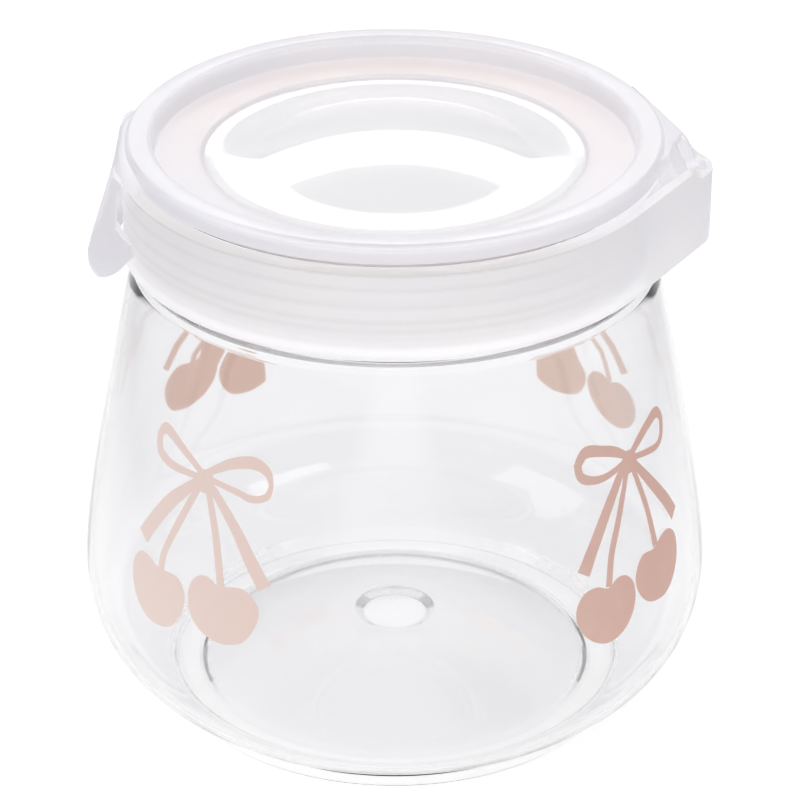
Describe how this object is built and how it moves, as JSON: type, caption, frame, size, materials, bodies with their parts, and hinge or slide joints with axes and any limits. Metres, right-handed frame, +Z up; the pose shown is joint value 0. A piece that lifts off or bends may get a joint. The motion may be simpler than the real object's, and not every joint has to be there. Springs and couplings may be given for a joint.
{
  "type": "airtight food canister",
  "caption": "Round clear plastic jar with a wide belly, a collar round its neck and a hinged flip lid with a finger tab and a soft seal.",
  "frame": {"origin": "on the jar's axis, at the level the foot stands on", "axes": "+Z up along the jar's axis, +X towards the hinge, -X towards the finger tab, hinge axis along Y"},
  "size_m": [0.1226, 0.1226, 0.1172],
  "materials": {
    "clear_jar": "clear, polished",
    "milky_collar": "translucent, satin",
    "milky_lid": "translucent, satin rim, clear polished middle",
    "soft_seal": "translucent, soft"
  },
  "bodies": {
    "jar": {"jar": "clear_jar", "neck_collar": "milky_collar"},
    "lid": {"lid": "milky_lid", "seal_ring": "soft_seal"}
  },
  "joints": [
    {"name": "lid_hinge", "type": "hinge", "parent": "jar", "child": "lid", "pos_m": [0.0569, 0, 0.1086], "axis": [0, 1, 0], "range_deg": [0, 110]}
  ]
}
